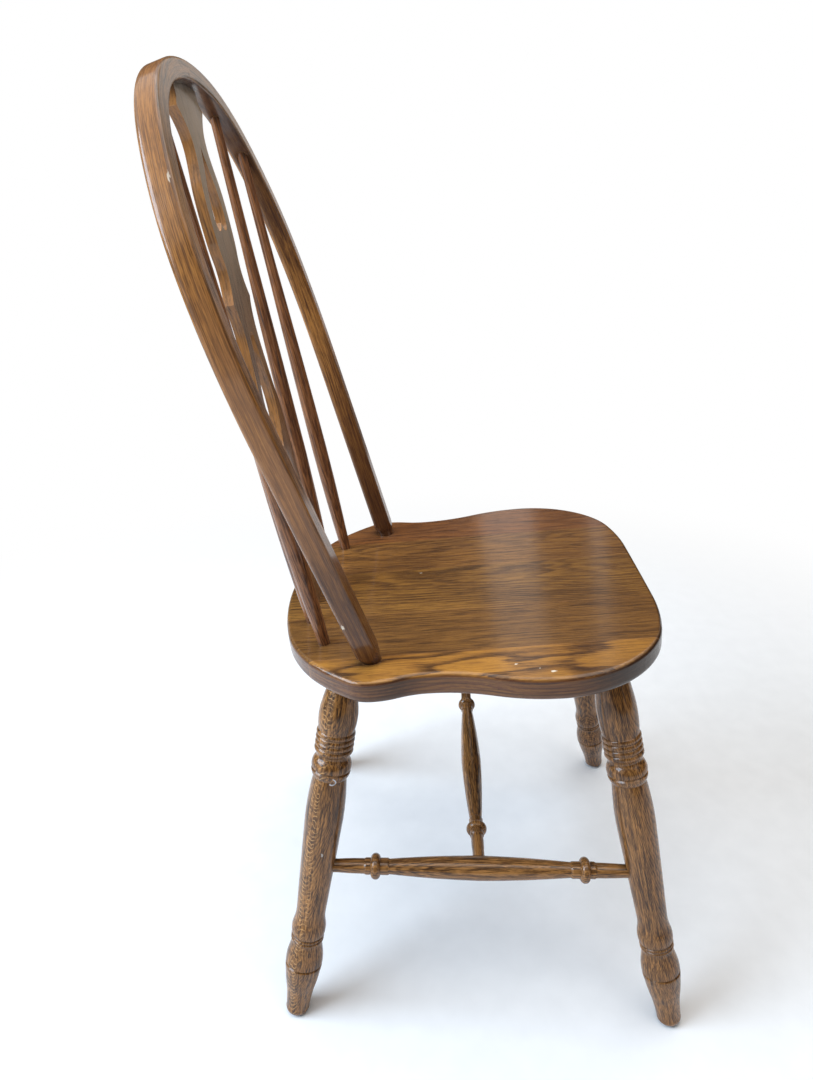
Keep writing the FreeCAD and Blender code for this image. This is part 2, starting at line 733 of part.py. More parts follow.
strip_middle = k.bow_foot_width / (2.0 * math.sin(math.radians(foot_run)))
for side, sign in SIDES:
    foot = on_bow(sign * (k.bow_foot_half - strip_middle), k.bow_depth / 2.0, 0.0)
    lean = heading(foot_run)
    direction = bow_frame.Rotation.multVec(vector(sign * lean.x, 0.0, lean.y))
    # Where the foot's axis meets the top of the seat
    drop = (foot - seat_frame.Base).dot(seat_up) / direction.dot(seat_up)
    entry = foot - direction * drop
    shoulder = k.bow_tenon_length + 3.0
    shaver = turned("bow_shaver_" + side, (k.bow_tenon_radius, Size(0)), [
        ((Size(40.0), Size(0)),),
        ((Size(40.0), shoulder + k.bow_shave_height),),
        ((k.bow_tenon_radius + 7.0, shoulder + k.bow_shave_height),),
        ((k.bow_tenon_radius, shoulder),),
    ])
    shaver.Placement = FreeCAD.Placement(
        entry - direction * k.bow_tenon_length.value,
        FreeCAD.Rotation(vector(0, 0, 1), direction),
    )
    bow_tools.append(shaver)
    trim = rod(
        "bow_trim_" + side, entry - direction * k.bow_tenon_length.value, direction, 40.0, 30.0, 0.0
    )
    bow_tools.append(trim)
    seat_tools.append(rod(
        "bow_socket_" + side, entry, direction, k.bow_tenon_radius + k.glue_clearance,
        k.bow_tenon_length + k.end_clearance, 14.0,
    ))


# Spindles, from the seat to the inside of the bow


def spindle_profile(length):
    """Steps of a spindle's profile from its foot, swelling low down and slimming to the bow."""
    depth = k.spindle_seat_depth
    swell = k.spindle_swell_radius
    return [
        ((k.spindle_foot_radius, Size(0)),),
        ((k.spindle_foot_radius, depth + 4.0),),
        arc(
            0.3 * k.spindle_foot_radius + 0.7 * swell, depth + 0.14 * length,
            swell, depth + 0.29 * length,
        ),
        arc(
            0.74 * swell + 0.26 * k.spindle_top_radius, depth + 0.5 * length,
            0.2 * swell + 0.8 * k.spindle_top_radius, depth + 0.76 * length,
        ),
        ((k.spindle_top_radius, depth + length - 11.0),),
        ((k.spindle_top_radius, depth + length + k.spindle_bow_depth),),
        ((Size(0), depth + length + k.spindle_bow_depth),),
    ]


SPINDLES = [
    ("outer", k.outer_spindle_across, k.outer_spindle_place, k.outer_spindle_top,
     k.outer_spindle_depth),
    ("inner", k.inner_spindle_across, k.inner_spindle_place, k.inner_spindle_top,
     k.inner_spindle_depth),
]
for place, across, along, top_across, top_depth in SPINDLES:
    for side, sign in SIDES:
        name = "spindle_%s_%s" % (place, side)
        foot = on_seat(sign * across, along)
        top = on_bow(sign * top_across, top_depth, inner_height(top_across.value))
        direction = (top - foot).normalize()
        length = (top - foot).Length
        body = turned(name, (Size(0), Size(0)), spindle_profile(length))
        body.Placement = FreeCAD.Placement(
            foot - direction * k.spindle_seat_depth.value,
            FreeCAD.Rotation(vector(0, 0, 1), direction),
        )
        keep(body, name)
        seat_tools.append(rod(
            name + "_seat_bore", foot, direction, k.spindle_foot_radius + k.glue_clearance,
            k.spindle_seat_depth + k.end_clearance, 10.0,
        ))
        bow_tools.append(rod(
            name + "_bow_bore", top, direction, k.spindle_top_radius + k.glue_clearance,
            16.0, k.spindle_bow_depth + k.end_clearance,
        ))


# Splat: a pierced outline whose pattern is spaced over its length


def up_splat(share):
    return share * splat_length


def across_splat(share):
    return share * k.splat_belly_half


splat_steps = [
    ((k.splat_foot_half, Size(0) - k.splat_seat_depth),),
    ((k.splat_foot_half, up_splat(0.012)),),
]
splat_steps += fair_curve([
    (k.splat_foot_half, up_splat(0.012), 90.0),
    (across_splat(0.8636), up_splat(0.16), 78.0),
    (across_splat(1.0), up_splat(0.33), 92.0),
    (across_splat(0.875), up_splat(0.440), 110.0),
    (across_splat(0.6955), up_splat(0.505), 101.0),
    (across_splat(0.5977), up_splat(0.575), 90.0),
    (across_splat(0.8273), up_splat(0.637), 52.0),
])
splat_steps += fair_curve([
    (across_splat(0.8273), up_splat(0.637), 122.0),
    (across_splat(0.6205), up_splat(0.690), 90.0),
    (across_splat(0.7636), up_splat(0.745), 84.0),
    (across_splat(0.7636), up_splat(0.818), 96.0),
    (across_splat(0.5591), up_splat(0.875), 108.0),
    (across_splat(0.5), up_splat(0.902), 90.0),
    (across_splat(0.9455), up_splat(0.962), 40.0),
])
splat_steps += fair_curve([
    (across_splat(0.9455), up_splat(0.962), 120.0),
    (k.splat_head_half, up_splat(0.985), 90.0),
])
splat_steps += [
    ((k.splat_head_half, splat_length + k.splat_bow_depth),),
    ((Size(0), splat_length + k.splat_bow_depth),),
    ((Size(0), up_splat(0.904)),),
]
# Upper piercing, a pointed leaf over two lobes
splat_steps += fair_curve([
    (0.0, up_splat(0.904), -78.0),
    (across_splat(0.2159), up_splat(0.858), -64.0),
    (across_splat(0.4545), up_splat(0.789), -90.0),
    (across_splat(0.2386), up_splat(0.762), -180.0),
    (0.0, up_splat(0.776), 128.0),
])
splat_steps.append(((Size(0), up_splat(0.576)),))
# Lower piercing, a tall keyhole with a pointed foot
splat_steps += fair_curve([
    (0.0, up_splat(0.576), 0.0),
    (across_splat(0.1591), up_splat(0.566), -84.0),
    (across_splat(0.2955), up_splat(0.508), -70.0),
    (across_splat(0.5341), up_splat(0.435), -90.0),
    (across_splat(0.3864), up_splat(0.375), -112.0),
    (0.0, up_splat(0.325), -145.0),
])
splat_body, splat_whole = mirrored_pad(
    "splat", "XZ_Plane", k.splat_thickness,
    (Size(0), Size(0) - k.splat_seat_depth), splat_steps, True,
)
splat_body.Placement = splat_frame

room = k.glue_clearance
seat_tools.append(block(
    "splat_seat_slot", splat_frame,
    (Size(0) - k.splat_foot_half - room, Size(0) - room,
     Size(0) - k.splat_seat_depth - k.end_clearance),
    (k.splat_foot_half + room, k.splat_thickness + room, Size(4.0)),
))
bow_tools.append(block(
    "splat_bow_slot", splat_frame,
    (Size(0) - k.splat_head_half - room, Size(0) - room, Size(splat_length - 7.0)),
    (k.splat_head_half + room, k.splat_thickness + room,
     splat_length + k.splat_bow_depth + k.end_clearance),
))

# Pin that holds the splat in the bow, flush with the bow's front face

pin_at = on_bow(k.pin_across, 0.0, k.bow_height - k.pin_drop)
pin_way = bow_frame.Rotation.multVec(vector(0, 1, 0))
pin = rod("splat_pin_stock", pin_at, pin_way, k.pin_radius, 0.0, k.pin_length)
keep(pin, "splat_pin")
pin_bores = [
    rod("pin_bore_" + end, pin_at, pin_way, k.pin_radius + k.glue_clearance / 2.0, 1.0,
        k.pin_length + k.end_clearance)
    for end in ("bow", "splat")
]
keep(cut("splat", splat_body, [pin_bores[1]]), "splat")
keep(cut("bow", bow_body, bow_tools + [pin_bores[0]]), "bow")


# Seat boards: the finished panel parted at its glue lines

seat_panel = cut("seat", seat_body, seat_tools)
margin = 20.0
LINES = [
    Size(0) - k.seat_widest_half - margin,
    k.glue_line_one,
    k.glue_line_two,
    k.glue_line_three,
    k.glue_line_four,
    k.seat_widest_half + margin,
]
for number, (low, high) in enumerate(zip(LINES, LINES[1:]), start=1):
    name = "seat_board_%d" % number
    saw = block(
        name + "_width", seat_frame,
        (low, Size(0) - margin, Size(0) - k.seat_thickness - margin),
        (high, k.seat_length + margin, Size(margin)),
    )
    board = doc.addObject("Part::Common", name + "_part")
    board.Base = seat_panel
    board.Tool = saw
    keep(board, name)

doc.recompute()

# Check every object, then write one file per piece

for item in doc.Objects:
    if "Invalid" in item.State or "Error" in item.State:
        raise RuntimeError("failed: " + item.Name)

os.makedirs("parts", exist_ok=True)
total = 0.0
for item in pieces:
    shape = item.Shape
    if shape.isNull() or not shape.isValid() or len(shape.Solids) != 1:
        raise RuntimeError("bad shape: %s with %d solids" % (item.Label, len(shape.Solids)))
    shape.exportStep(os.path.join("parts", item.Label + ".step"))
    total += shape.Volume
    print("%-22s volume %9.0f" % (item.Label, shape.Volume))

print("pieces", len(pieces), "volume", round(total))
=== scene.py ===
# %% [markdown]
# # A wheelback dining chair in stained oak
#
# This file dresses a finished CAD model of a dining chair. The model brings every solid in its
# place: four turned legs, three stretchers, a seat glued up from five boards, a bent bow, four
# spindles and a pierced splat. What is left for Blender is the part that the eye reads first, the
# wood and its finish, and a small studio to look at it in.
#
# The shapes of the solids are already right, so each one stays and is given a material of its own.

# %% Load the chair
import bpy
import math
from mathutils import Matrix, Vector

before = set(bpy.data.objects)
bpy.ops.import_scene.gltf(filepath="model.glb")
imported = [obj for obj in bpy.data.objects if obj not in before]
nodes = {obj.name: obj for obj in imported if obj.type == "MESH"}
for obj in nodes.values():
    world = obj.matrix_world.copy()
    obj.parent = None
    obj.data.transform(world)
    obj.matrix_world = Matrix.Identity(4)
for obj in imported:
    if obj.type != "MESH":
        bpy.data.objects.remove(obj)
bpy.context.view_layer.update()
MM = 1000.0  # millimetres in one metre, Blender's unit
print("pieces loaded:", len(nodes))

# %% [markdown]
# ## The camera
#
# The chair was photographed from a standing height, close by, with a wide lens: the bow leans
# towards the lens and looks large, and the far legs look small. The place and the lens were solved
# from points that are easy to name, such as the feet, the turned rings and the ends of the bow.
# Blender keeps a camera as a matrix whose columns are its right, up and backward directions.

# %% Place the camera
CAMERA_PLACE = (-0.786652, 0.024263, 0.848275)
YAW, PITCH, ROLL = 0.030140, -0.423099, -0.017922

camera_data = bpy.data.cameras.new("camera")
camera_data.lens = 25.747
camera_data.sensor_width = 36.0
camera_data.clip_start = 0.01
camera = bpy.data.objects.new("camera", camera_data)
bpy.context.scene.collection.objects.link(camera)
look = Vector((
    math.cos(YAW) * math.cos(PITCH),
    math.sin(YAW) * math.cos(PITCH),
    math.sin(PITCH),
))
level = look.cross(Vector((0, 0, 1))).normalized()
upright = level.cross(look)
right = math.cos(ROLL) * level + math.sin(ROLL) * upright
up = math.cos(ROLL) * upright - math.sin(ROLL) * level
facing = Matrix((right, up, -look)).transposed().to_4x4()
camera.matrix_world = Matrix.Translation(CAMERA_PLACE) @ facing
bpy.context.scene.camera = camera
print("camera height in metres:", round(camera.location.z, 3))
print("degrees below level:", round(-math.degrees(PITCH), 1))

# %% [markdown]
# ## A small language for materials
#
# Wood made from nodes takes many small sums. Writing them one node at a time hides the idea behind
# the wiring, so a short helper class names the few operations that this chair needs: sums, noise,
# colour ramps and blends. Most calls add a node or a few, and return the socket that the next call
# reads.

# %% Helper for node trees
class Bench:
    """Adds nodes to one material and returns their output sockets."""

    def __init__(self, name):
        self.material = bpy.data.materials.new(name)
        self.material.use_nodes = True
        self.tree = self.material.node_tree
        self.tree.nodes.clear()
        self.shader = self.add("ShaderNodeBsdfPrincipled")
        self.output = self.add("ShaderNodeOutputMaterial")
        self.tree.links.new(self.shader.outputs["BSDF"], self.output.inputs["Surface"])

    def add(self, kind, **settings):
        node = self.tree.nodes.new(kind)
        for key, value in settings.items():
            setattr(node, key, value)
        return node

    def feed(self, socket, value):
        """Links a socket to another one, or gives it a plain value."""
        if isinstance(value, bpy.types.NodeSocket):
            self.tree.links.new(value, socket)
        else:
            socket.default_value = value

    def sum(self, operation, *values, clamp=False):
        node = self.add("ShaderNodeMath", operation=operation, use_clamp=clamp)
        for socket, value in zip(node.inputs, values):
            self.feed(socket, value)
        return node.outputs[0]

    def plus(self, first, *others):
        for value in others:
            first = self.sum("ADD", first, value)
        return first

    def times(self, first, *others):
        for value in others:
            first = self.sum("MULTIPLY", first, value)
        return first

    def length(self, x, y):
        return self.sum("SQRT", self.plus(self.times(x, x), self.times(y, y)))

    def split(self, vector):
        node = self.add("ShaderNodeSeparateXYZ")
        self.feed(node.inputs[0], vector)
        return node.outputs

    def turned_to(self, direction):
        """1 where the surface faces the direction, 0 at a right angle to it, -1 facing away."""
        node = self.add("ShaderNodeVectorMath", operation="DOT_PRODUCT")
        self.feed(node.inputs[0], self.add("ShaderNodeNewGeometry").outputs["Normal"])
        self.feed(node.inputs[1], direction)
        return node.outputs["Value"]

    def noise(self, at, waves, detail=2.0, rough=0.5, low=0.3, high=0.7):
        """Noise with so many waves per unit on each axis, stretched to run from 0 to 1."""
        squeezed = self.add("ShaderNodeVectorMath", operation="MULTIPLY")
        self.feed(squeezed.inputs[0], at)
        squeezed.inputs[1].default_value = waves
        node = self.add("ShaderNodeTexNoise")
        self.feed(node.inputs["Vector"], squeezed.outputs[0])
        node.inputs["Scale"].default_value = 1.0
        node.inputs["Detail"].default_value = detail
        node.inputs["Roughness"].default_value = rough
        return self.spread(node.outputs[0], low, high)

    def spread(self, value, low, high, **settings):
        node = self.add("ShaderNodeMapRange", **settings)
        self.feed(node.inputs["Value"], value)
        node.inputs["From Min"].default_value = low
        node.inputs["From Max"].default_value = high
        return node.outputs[0]

    def step(self, value, low, high):
        """Soft step from 0 to 1 between two values."""
        return self.spread(value, low, high, interpolation_type="SMOOTHSTEP")

    def ramp(self, value, stops):
        node = self.add("ShaderNodeValToRGB")
        self.feed(node.inputs[0], value)
        elements = node.color_ramp.elements
        while len(elements) < len(stops):
            elements.new(0.5)
        for element, (place, colour) in zip(elements, stops):
            element.position = place
            element.color = colour
        return node.outputs[0]

    def blend(self, share, first, second):
        node = self.add("ShaderNodeMix", data_type="RGBA", blend_type="MIX")
        self.feed(node.inputs[0], share)
        self.feed(node.inputs[6], first)
        self.feed(node.inputs[7], second)
        return node.outputs[2]

    def bump(self, height, strength, distance):
        node = self.add("ShaderNodeBump")
        node.inputs["Strength"].default_value = strength
        node.inputs["Distance"].default_value = distance
        self.feed(node.inputs["Height"], height)
        self.feed(self.shader.inputs["Normal"], node.outputs["Normal"])
        return node


def stain(red, green, blue):
    """A colour as it is read off a photograph, turned into the linear values that nodes use."""
    linear = []
    for part in (red / 255.0, green / 255.0, blue / 255.0):
        linear.append(part / 12.92 if part <= 0.04045 else ((part + 0.055) / 1.055) ** 2.4)
    return (*linear, 1.0)


def greys(stops):
    """Stops of a colour ramp from pairs of a place and a grey."""
    return [(place, (grey, grey, grey, 1.0)) for place, grey in stops]


print("a mid brown in linear values:", [round(v, 3) for v in stain(120, 80, 45)])

# %% [markdown]
# ## Directions of a piece of wood
#
# A plank's grain runs along it, whatever way it lies in the chair. So each piece reads its material
# in its own directions: across the piece, into its face and along its grain. A Mapping node turns
# and moves the shared coordinates into them, and counts in millimetres, which suits wood. A shift
# takes each piece from another part of the tree, so no two look alike.

# %% Coordinates along a piece
def along_piece(bench, start, along, face, shift=(0, 0, 0)):
    """Coordinates in millimetres: x across the piece, y into its face, z along its grain."""
    along = Vector(along).normalized()
    face = Vector(face)
    face = (face - along * face.dot(along)).normalized()
    turn = Matrix((face.cross(along), face, along))
    mapping = bench.add("ShaderNodeMapping", vector_type="POINT")
    bench.feed(mapping.inputs["Vector"], bench.add("ShaderNodeTexCoord").outputs["Object"])
    mapping.inputs["Scale"].default_value = (MM, MM, MM)
    mapping.inputs["Rotation"].default_value = turn.to_euler("XYZ")
    mapping.inputs["Location"].default_value = Vector(shift) - turn @ (Vector(start) * MM)
    return mapping.outputs["Vector"]


def on_axis(start, end, face, shift):
    """The same for a piece between two points, to be read by one bench after another."""
    return lambda bench: along_piece(bench, start, Vector(end) - Vector(start), face, shift)


print("directions are read in millimetres from the start of each piece")

# %% [markdown]
# ## Year rings
#
# Oak grows a band of wide, open pores each spring and dense wood each summer. Stain soaks into the
# pores and dries dark, while the dense wood stays golden, so the year rings show as dark bands.
#
# The bands are cut out of one number: how far a point lies from the middle of the tree. In a board
# that is its depth, plus a slow drift along the grain, plus a curve across it. Where the drift and
# the curve meet the surface, the tall pointed arches of a flat sawn board appear by themselves.
# Every year is given its own strength, since some years grew a wide spring band and some hardly
# any.

# %% Year rings from one number
# Waves per millimetre: across the piece, into its face, along its grain
SLOW_SWAY = (0.022, 0.022, 0.0060)
QUICK_SWAY = (0.11, 0.11, 0.016)
RING_FIBRE = (0.75, 0.75, 0.022)
QUICK_SHARE = 0.22   # of the slow sway
FIBRE_SHARE = 0.34   # of one ring
WEAKEST_YEAR = 0.4
# Darkness through one year, from the first spring pores to the last summer wood
YEAR = greys([(0.0, 0.20), (0.14, 1.0), (0.34, 0.72), (0.60, 0.16), (0.86, 0.0), (1.0, 0.20)])


def year_rings(bench, at, spacing, drift, curve, wander):
    """How deep a point lies in the dark spring band of its year ring, from 0 to 1."""
    across, depth, along = bench.split(at)
    reach = bench.plus(depth, bench.times(along, drift))
    bulge = bench.times(across, across, curve)
    slow = bench.times(bench.noise(at, SLOW_SWAY), wander)
    quick = bench.times(bench.noise(at, QUICK_SWAY, detail=1.0), QUICK_SHARE * wander)
    fibre = bench.noise(at, RING_FIBRE, detail=3.0, rough=0.65)
    distance = bench.plus(reach, bulge, bench.plus(slow, quick),
                          bench.times(fibre, FIBRE_SHARE * spacing))
    years = bench.sum("DIVIDE", distance, spacing)
    band = bench.ramp(bench.sum("FRACT", years), YEAR)
    chance = bench.add("ShaderNodeTexWhiteNoise", noise_dimensions="1D")
    bench.feed(chance.inputs["W"], bench.sum("FLOOR", years))
    strength = bench.plus(bench.times(chance.outputs["Value"], 1.0 - WEAKEST_YEAR), WEAKEST_YEAR)
    return bench.times(band, strength)


print("stops in one year:", len(YEAR))

# %% [markdown]
# ## Streaks, pores and pale rays
#
# Between the rings the wood varies on its own: fine fibres, darker dashes, broad pale and dark
# areas and a faint mottle. They are added up to one tone, and a ramp turns the tone into colour.
# The pores are drawn over it in the darkest stain, more of them where a spring band runs. Turned
# pieces also show short pale rays, which joiners call silver grain.

# %% Tone, pores and rays
FINE_FIBRE = (0.62, 0.62, 0.020)
DARK_DASH = (0.42, 0.42, 0.026)
BROAD_AREA = (0.020, 0.020, 0.0065)
MOTTLE = (0.16, 0.16, 0.05)
SHORT_PORE = (0.85, 0.85, 0.10)
LONG_PORE = (0.70, 0.70, 0.030)
SILVER_RAY = (0.60, 0.60, 0.060)
MIDDLE_TONE = 0.42   # place of the middle tone on the ramp
RAY_LIFT = 1.22      # how much lighter a ray is than the lightest wood


def wood_tone(bench, at, spring, mottle, streak, blotch, band):
    """One number from 0, the lightest wood, to 1, the darkest."""
    fine = bench.noise(at, FINE_FIBRE, detail=3.0, rough=0.65, low=0.38, high=0.62)
    dash = bench.noise(at, DARK_DASH, rough=0.6, low=0.52, high=0.64)
    broad = bench.noise(at, BROAD_AREA)
    tone = bench.plus(
        bench.times(spring, band),
        bench.times(fine, 0.5 * streak),
        bench.times(dash, 0.45 * streak),
        bench.times(broad, 0.6 * blotch),
        bench.times(mottle, 0.25 * blotch),
    )
    balance = 0.25 * streak + 0.3 * blotch - 0.05
    return bench.sum("SUBTRACT", tone, balance, clamp=True)


def open_pores(bench, at, spring):
    """1 in an open pore and 0 in dense wood."""
    short = bench.noise(at, SHORT_PORE, rough=0.7, low=0.52, high=0.62)
    long = bench.noise(at, LONG_PORE, rough=0.6, low=0.54, high=0.63)
    crowd = bench.plus(bench.times(spring, 0.6), 0.4)
    return bench.sum("MULTIPLY", bench.sum("ADD", short, long, clamp=True), crowd, clamp=True)


def pale_rays(bench, at, colour, lightest, fleck):
    rays = bench.noise(at, SILVER_RAY, rough=0.6, low=0.57, high=0.66)
    ray_tone = stain(*[min(255, RAY_LIFT * part) for part in lightest])
    return bench.blend(bench.times(rays, fleck), colour, ray_tone)


print("kinds of figure between the rings: fibre, dash, area, mottle, pore, ray")

# %% [markdown]
# ## Wear, darkened corners and lacquer
#
# Use shows where surfaces meet. An Ambient Occlusion node finds the corners and grooves and darkens
# them: stain and dirt gather there, and the darkening is also painted shade. A Bevel node gives the
# surface direction as if the edges were a little rounder, and where it differs from the true one
# there is an edge, rubbed back to lighter wood.
#
# Over everything lies a satin lacquer, the coat of the shader, smooth and thin. The wood under it
# hardly shines by itself, and is duller where pores stay open and hands rub.

# %% Corners, edges and lacquer
GROOVE_REACH = 0.012       # metres that a corner's dirt spreads
EDGE_RADIUS = 0.0022       # metres of an edge that hands rub
HAND_RUB = (0.25, 0.25, 0.07)
SHINE_UNDER_COAT = 0.10
COAT_SHARE = 0.65
COAT_ROUGHNESS = 0.13
RELIEF_STRENGTH = 0.35
RELIEF_DEPTH = 0.00022     # metres between an open pore and the lacquer's top


def bevelled(bench, radius, samples):
    """The surface direction as if the edges had the given radius."""
    node = bench.add("ShaderNodeBevel", samples=samples)
    node.inputs["Radius"].default_value = radius
    return node.outputs[0]


def darken_corners_stain_and_shade(bench, colour, darkest, corner_stain_and_shade):
    # Painted shade, together with stain and dirt that gather there: the AO mask darkens corners and
    # grooves
    hollow = bench.add("ShaderNodeAmbientOcclusion", samples=6)
    hollow.inputs["Distance"].default_value = GROOVE_REACH
    deep = bench.step(hollow.outputs["AO"], 0.85, 0.25)
    return bench.blend(bench.times(deep, corner_stain_and_shade), colour, darkest)


def rubbed_edges(bench, at, wear):
    """1 where an edge is rubbed through to lighter wood."""
    edge = bench.step(bench.turned_to(bevelled(bench, EDGE_RADIUS, 6)), 0.995, 0.90)
    rub = bench.noise(at, HAND_RUB, detail=3.0, low=0.35, high=0.6)
    return bench.sum("MULTIPLY", bench.times(edge, rub), wear, clamp=True)


def lacquer(bench, pores, mottle, rubbed, gloss):
    dull = bench.plus(bench.times(pores, 0.20), bench.times(mottle, 0.07),
                      bench.times(rubbed, 0.12))
    bench.feed(bench.shader.inputs["Roughness"], bench.plus(dull, gloss))
    bench.shader.inputs["Specular IOR Level"].default_value = SHINE_UNDER_COAT
    bench.shader.inputs["Coat Weight"].default_value = COAT_SHARE
    bench.shader.inputs["Coat Roughness"].default_value = COAT_ROUGHNESS


print("coat:", COAT_SHARE, "rough:", COAT_ROUGHNESS)

# %% [markdown]
# ## One piece of oak
#
# Now the steps are put together. Each piece of the chair calls this function with its directions,
# its four tones, its rings and its finish. The tones go from the lightest summer wood to the
# darkest pore, and were chosen by comparing renders with the photograph. A piece with marks of its
# own, such as chips, a darker edge or painted light and shade, hands in a function that paints them
# over the wood and under the darkened corners.

# %% Oak from directions, tones, rings and finish
def oak(name, at_of, tones, rings, streak, blotch, band, extra=None, pore=0.6, gloss=0.32,
        wear=0.5, corner_stain_and_shade=0.7, worn_tone=(150, 104, 62), fleck=0.0, round_edge=0.0):
    bench = Bench(name)
    at = at_of(bench)
    light, middle, dark, darkest = [stain(*tone) for tone in tones]
    spring = year_rings(bench, at, *rings)
    mottle = bench.noise(at, MOTTLE, detail=3.0)
    tone = wood_tone(bench, at, spring, mottle, streak, blotch, band)
    colour = bench.ramp(tone, [(0.0, light), (MIDDLE_TONE, middle), (1.0, dark)])
    pores = open_pores(bench, at, spring)
    colour = bench.blend(bench.times(pores, pore), colour, darkest)
    if fleck:
        colour = pale_rays(bench, at, colour, tones[0], fleck)
    if extra:
        colour = extra(bench, at, colour)
    # Corners and grooves darkened: gathered stain and painted shade
    colour = darken_corners_stain_and_shade(bench, colour, darkest, corner_stain_and_shade)
    rubbed = rubbed_edges(bench, at, wear)
    colour = bench.blend(rubbed, colour, stain(*worn_tone))
    bench.feed(bench.shader.inputs["Base Color"], colour)
    lacquer(bench, pores, mottle, rubbed, gloss)
    relief = bench.plus(bench.times(pores, -1.0), bench.times(spring, -0.35),
                        bench.times(mottle, 0.5))
    bump = bench.bump(relief, RELIEF_STRENGTH, RELIEF_DEPTH)
    if round_edge:
        # Light turns round the edge as if it had been sanded rounder than it was drawn
        bench.feed(bump.inputs["Normal"], bevelled(bench, round_edge, 8))
    return bench.material


def chipped(bench, at, colour, chips, first=0, tone=(222, 208, 186)):
    """Pale chips in the lacquer: place on the chosen axis, place along, length and width."""
    ragged = bench.times(bench.noise(at, (0.9, 0.9, 0.35)), 0.7)
    parts = bench.split(at)
    for side, along, long, wide in chips:
        x = bench.sum("DIVIDE", bench.sum("SUBTRACT", parts[first], side), wide)
        z = bench.sum("DIVIDE", bench.sum("SUBTRACT", parts[2], along), long)
        inside = bench.step(bench.plus(bench.length(x, z), ragged), 1.15, 0.75)
        colour = bench.blend(inside, colour, stain(*tone))
    return colour


def dress(node, material):
    """Gives a CAD piece its material in all of its slots."""
    mesh = nodes[node].data
    if not mesh.materials:
        mesh.materials.append(material)
    for slot in nodes[node].material_slots:
        slot.material = material


print("nodes to dress:", len(nodes))

# %% [markdown]
# ## The seat boards
#
# The seat is glued up from five boards, and each came from another part of a tree. The near outer
# board is the lightest, a broad golden figure with dark tongues in it. The next is plain and
# straight in the grain, the middle one has pointed arches, and the far ones turn redder. The grain
# runs from front to back, and the slope of the seat turns its directions a little.
#
# One material per board, with its own rings and its own tones, gives the glue lines for free: the
# figure simply stops and another begins. The sawn edge is darker than the top and shows its layers;
# its darkness is stain and partly painted shade, and the edge that faces the front is painted
# darker still, as shade. The front of the top is darker from use, and a few small chips lie where
# the photograph has them.

# %% Edge, front and chips of the seat
SEAT_START = (0.0, -0.21324, 0.4584)
SEAT_ALONG = (0.0, 0.99692, -0.07846)
SEAT_UP = (0.0, 0.07846, 0.99692)
TO_THE_FRONT = (-0.2, -0.98, 0.0)
EDGE_LAYERS = (0.03, 0.55, 0.010)
SEAT_CHIPS = {
    # board: (across, behind the front edge, length, width)
    "seat_board_1": [
        (-176.4, 156.5, 3.0, 1.3), (-191.8, 123.7, 4.6, 1.9), (-185.5, 135.5, 1.6, 0.8),
    ],
    "seat_board_3": [(26.8, 246.4, 2.2, 1.3)],
}


def edge_stain_and_front_shade(bench, at, colour):
    """The sawn edge, darker and redder than the top: stain and partly painted shade, with painted
    shade on the edge that faces the front.
    """
    # Stain and partly painted shade: the sawn edge is darkened and reddened
    side = bench.step(bench.turned_to(SEAT_UP), 0.80, 0.30)
    colour = bench.blend(bench.times(side, 0.70), colour, stain(92, 54, 36))
    layers = bench.noise(at, EDGE_LAYERS, low=0.47, high=0.60)
    colour = bench.blend(bench.times(side, layers, 0.55), colour, stain(46, 28, 22))
    # Painted shade: the edge that faces the front is darkened further
    ahead = bench.step(bench.turned_to(TO_THE_FRONT), 0.15, 0.75)
    return bench.blend(bench.times(ahead, 0.85), colour, stain(38, 25, 20))


def board_marks(board, shift):
    """Front, edge and chips of one board, whose coordinates carry its shift."""
    chips = [(shift[0] - x, shift[2] + y, long, wide)
             for x, y, long, wide in SEAT_CHIPS.get(board, [])]

    def marks(bench, at, colour):
        front = bench.step(bench.split(at)[2], shift[2] + 190.0, shift[2] + 50.0)
        colour = bench.blend(bench.times(front, 0.22), colour, stain(66, 38, 20))
        return chipped(bench, at, edge_stain_and_front_shade(bench, at, colour), chips)

    return marks


print("chips on the seat:", sum(len(chips) for chips in SEAT_CHIPS.values()))

# %% Finish the seat
BOARDS = {
    # name: (shift, tones, (ring spacing, drift, curve, wander), streak, blotch, band)
    "seat_board_1": ((-178, 0, 40), [(178, 124, 54), (142, 96, 46), (70, 45, 26), (38, 25, 16)],
                     (5.6, 0.026, 0.0045, 10.0), 0.50, 0.50, 0.85),
    "seat_board_2": ((-40, 30, 500), [(136, 94, 46), (104, 70, 37), (56, 38, 22), (30, 21, 14)],
                     (2.2, 0.012, 0.0100, 5.0), 0.75, 0.40, 0.55),
    "seat_board_3": ((20, 60, 1000), [(150, 106, 50), (112, 76, 39), (58, 39, 23), (30, 21, 14)],
                     (3.6, 0.034, 0.0060, 8.0), 0.60, 0.65, 0.60),
    "seat_board_4": ((95, 90, 1500), [(148, 102, 50), (112, 75, 40), (58, 38, 23), (30, 20, 14)],
                     (3.0, 0.030, 0.0075, 7.0), 0.65, 0.55, 0.55),
    "seat_board_5": ((165, 120, 2000), [(144, 92, 48), (112, 71, 41), (60, 38, 24), (30, 20, 14)],
                     (3.2, 0.024, 0.0060, 6.0), 0.65, 0.55, 0.50),
}
SEAT_FINISH = dict(pore=0.5, gloss=0.34, wear=0.75, corner_stain_and_shade=0.75)


def on_seat(shift):
    return lambda bench: along_piece(bench, SEAT_START, SEAT_ALONG, SEAT_UP, shift)


for board, (shift, *wood) in BOARDS.items():
    dress(board, oak(board + "_oak", on_seat(shift), *wood, extra=board_marks(board, shift),
                     **SEAT_FINISH))
print("seat boards finished:", len(BOARDS))
